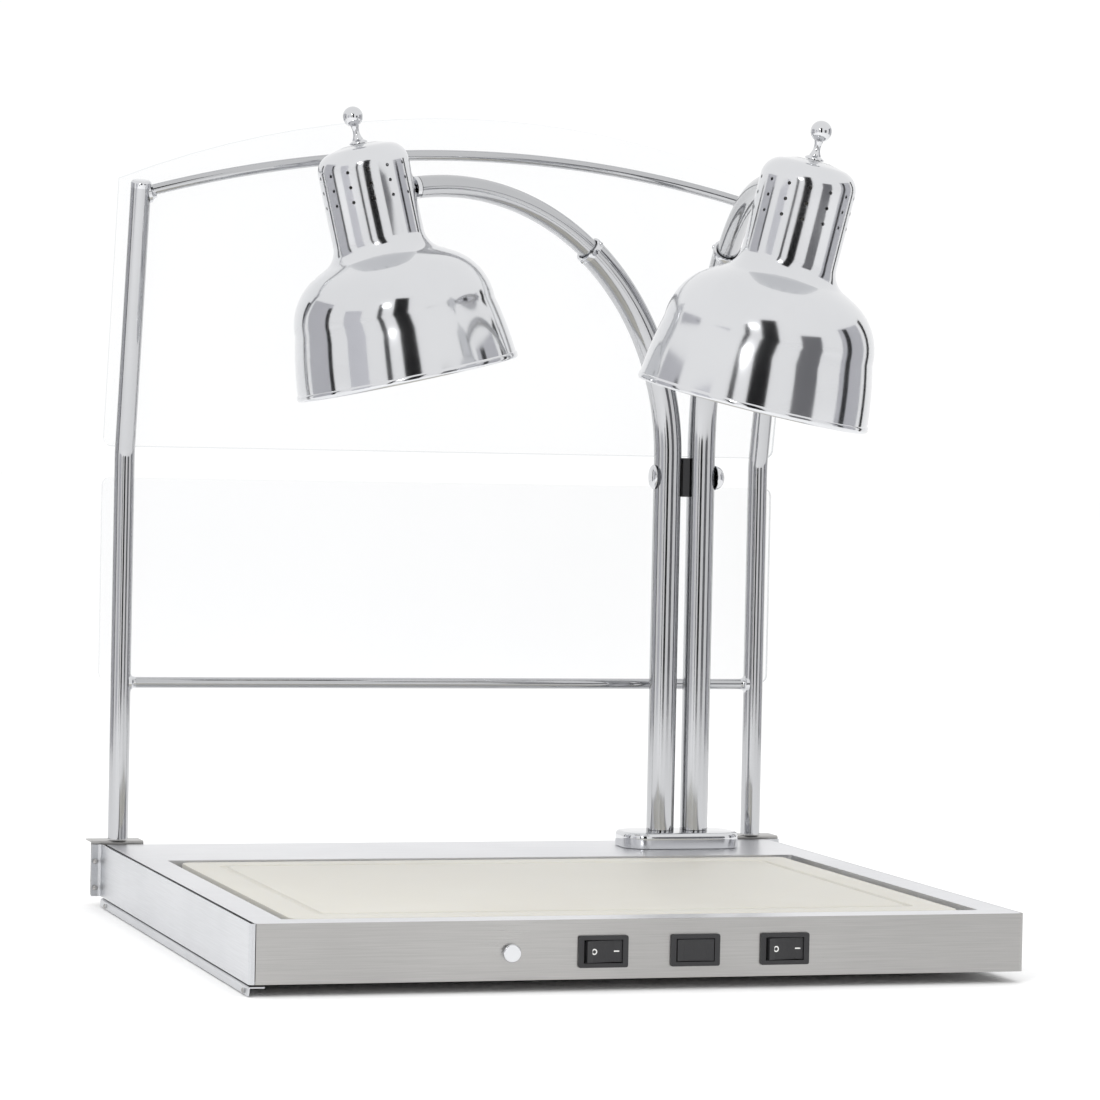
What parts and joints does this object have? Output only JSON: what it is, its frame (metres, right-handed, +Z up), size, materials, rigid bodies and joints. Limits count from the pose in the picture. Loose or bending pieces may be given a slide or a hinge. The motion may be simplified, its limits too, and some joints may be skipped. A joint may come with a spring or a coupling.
{
  "type": "carving station with heat lamps",
  "caption": "Countertop carving station with a lift-out cutting board, a clear arched guard and heat lamps on curved telescoping arms.",
  "frame": {"origin": "on the counter, under the centre of the whole object's box", "axes": "+Z up, -Y towards the operator and the switches, +X towards the lamp stand"},
  "size_m": [0.72, 0.7007, 0.7876],
  "materials": {
    "brushed_steel": "satin, grained along the panel",
    "chrome": "polished",
    "black_plastic": "semi-gloss",
    "rubber": "matte",
    "polyethylene": "fine textured",
    "acrylic": "clear, polished edges",
    "insulated_wire": "matte",
    "ceramic": "glazed",
    "bulb_glass": "frosted"
  },
  "bodies": {
    "base": {"bottom_cover": "brushed_steel", "brace_screw_left": "chrome", "brace_screw_right": "chrome", "button_sleeve": "black_plastic", "cable_gland": "black_plastic", "collar_left": "chrome", "collar_right": "chrome", "deck_pan": "brushed_steel", "ear_screw_1": "brushed_steel", "ear_screw_2": "brushed_steel", "foot_front_left": "rubber", "foot_front_right": "rubber", "foot_rear_left": "rubber", "foot_rear_right": "rubber", "front_fascia": "brushed_steel", "guard_bracket_left": "brushed_steel", "guard_bracket_right": "brushed_steel", "guard_lower_bar": "chrome", "guard_panel_lower": "acrylic", "guard_panel_upper": "acrylic", "guard_post_left": "chrome", "guard_post_right": "chrome", "guard_top_bar": "chrome", "lamp_flange": "chrome", "lamp_lead": "insulated_wire", "left_side_panel": "brushed_steel", "left_skirt": "brushed_steel", "outer_tube_left": "chrome", "outer_tube_right": "chrome", "rear_panel": "brushed_steel", "right_side_panel": "brushed_steel", "rocker_bezel_1": "black_plastic", "rocker_bezel_2": "black_plastic", "rocker_bezel_3": "black_plastic", "skirt_screw_front": "brushed_steel", "skirt_screw_rear": "brushed_steel", "supply_lead": "insulated_wire", "switch_body_1": "black_plastic", "switch_body_2": "black_plastic", "switch_body_3": "black_plastic", "switch_lead": "insulated_wire", "terminal_block": "black_plastic", "tube_spacer": "black_plastic"},
    "board": {"cutting_board": "polyethylene"},
    "left_arm": {"inner_tube_left": "chrome", "swivel_stud_left": "chrome"},
    "left_lamp": {"shade_left": "chrome", "knob_left": "chrome", "lampholder_left": "ceramic", "bulb_left": "bulb_glass"},
    "right_arm": {"inner_tube_right": "chrome", "swivel_stud_right": "chrome"},
    "right_lamp": {"shade_right": "chrome", "knob_right": "chrome", "lampholder_right": "ceramic", "bulb_right": "bulb_glass"},
    "rocker_1": {"rocker_1": "black_plastic"},
    "rocker_2": {"rocker_2": "black_plastic"},
    "rocker_3": {"rocker_3": "black_plastic"},
    "push_button": {"push_button": "chrome"}
  },
  "joints": [
    {"name": "left_arm_telescope", "type": "hinge", "parent": "base", "child": "left_arm", "pos_m": [-0.04189, 0.18256, 0.4535], "axis": [0.2756, -0.9613, 0], "range_deg": [-24, 10]},
    {"name": "left_lamp_swivel", "type": "hinge", "parent": "left_arm", "child": "left_lamp", "pos_m": [-0.1321, 0.15669, 0.70318], "axis": [-0.9502, -0.2725, -0.1513], "range_deg": [-8, 38]},
    {"name": "right_arm_telescope", "type": "hinge", "parent": "base", "child": "right_arm", "pos_m": [0.21551, -0.00487, 0.4535], "axis": [0.9938, -0.1115, 0], "range_deg": [-34, 6]},
    {"name": "right_lamp_swivel", "type": "hinge", "parent": "right_arm", "child": "right_lamp", "pos_m": [0.20046, -0.13901, 0.68356], "axis": [-0.1057, -0.9424, -0.3173], "range_deg": [-28, 34]},
    {"name": "board_lift", "type": "slide", "parent": "base", "child": "board", "axis": [0, 0, 1], "range_m": [0, 0.15]},
    {"name": "rocker_1_tilt", "type": "hinge", "parent": "base", "child": "rocker_1", "pos_m": [-0.0414, -0.342, 0.0341], "axis": [0, 0, 1], "range_deg": [-18, 0]},
    {"name": "rocker_2_tilt", "type": "hinge", "parent": "base", "child": "rocker_2", "pos_m": [0.0416, -0.342, 0.0341], "axis": [0, 0, 1], "range_deg": [-9, 9]},
    {"name": "rocker_3_tilt", "type": "hinge", "parent": "base", "child": "rocker_3", "pos_m": [0.1233, -0.342, 0.0341], "axis": [0, 0, 1], "range_deg": [-18, 0]},
    {"name": "push_button_press", "type": "slide", "parent": "base", "child": "push_button", "axis": [0, 1, 0], "range_m": [0, 0.002], "stiffness_N_per_m": 500}
  ]
}
